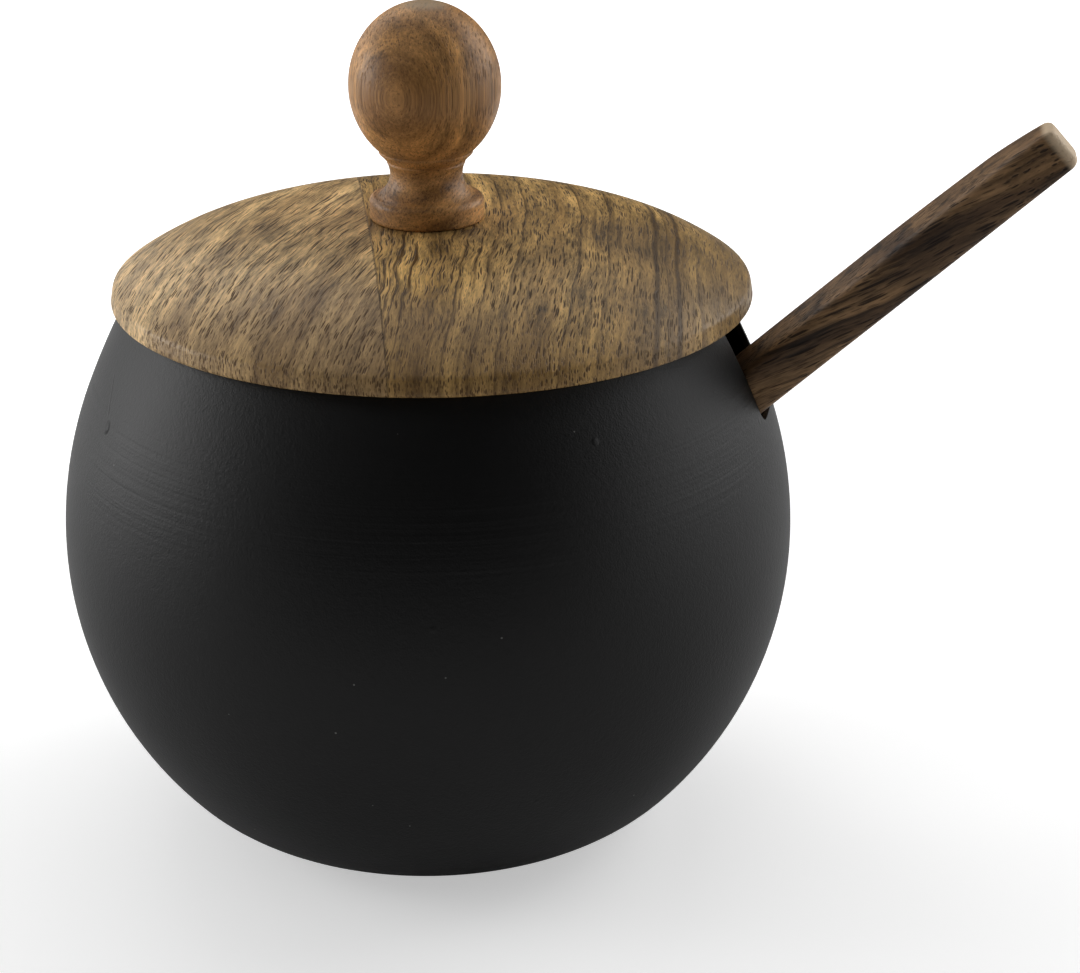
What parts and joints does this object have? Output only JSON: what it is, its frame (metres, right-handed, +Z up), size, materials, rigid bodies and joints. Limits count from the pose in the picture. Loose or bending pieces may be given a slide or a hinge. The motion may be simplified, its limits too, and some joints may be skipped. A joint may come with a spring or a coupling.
{
  "type": "sugar bowl",
  "caption": "Round black metal sugar bowl with a turned wooden lid and knob, and a wooden spoon standing in a notch in its rim.",
  "frame": {"origin": "centre of the flat base the bowl stands on, on the bowl's axis", "axes": "+Z up along the bowl's axis; +X towards the spoon's handle; -Y is the side the front view shows"},
  "size_m": [0.1397, 0.104, 0.1183],
  "materials": {
    "bowl_coat": "matte black powder coat over spun steel, fine orange-peel",
    "lid_wood_left": "satin oiled hardwood, greyish tan with short dark pores",
    "lid_wood_right": "satin oiled hardwood, golden brown with dark growth lines",
    "knob_wood": "satin turned hardwood, fine grained",
    "screw_steel": "zinc-plated steel",
    "spoon_wood": "oiled dark hardwood, open grain"
  },
  "bodies": {
    "bowl": {"bowl_shell": "bowl_coat"},
    "lid": {"lid_stave_left": "lid_wood_left", "lid_stave_right": "lid_wood_right", "knob": "knob_wood", "knob_screw": "screw_steel"},
    "spoon": {"spoon": "spoon_wood"}
  },
  "joints": [
    {"name": "lid_lift", "type": "slide", "parent": "bowl", "child": "lid", "axis": [0, 0, 1], "range_m": [0, 0.06]},
    {"name": "spoon_tilt", "type": "hinge", "parent": "bowl", "child": "spoon", "pos_m": [0.04725, 0, 0.06282], "axis": [0, 1, 0], "range_deg": [0, 30]}
  ]
}
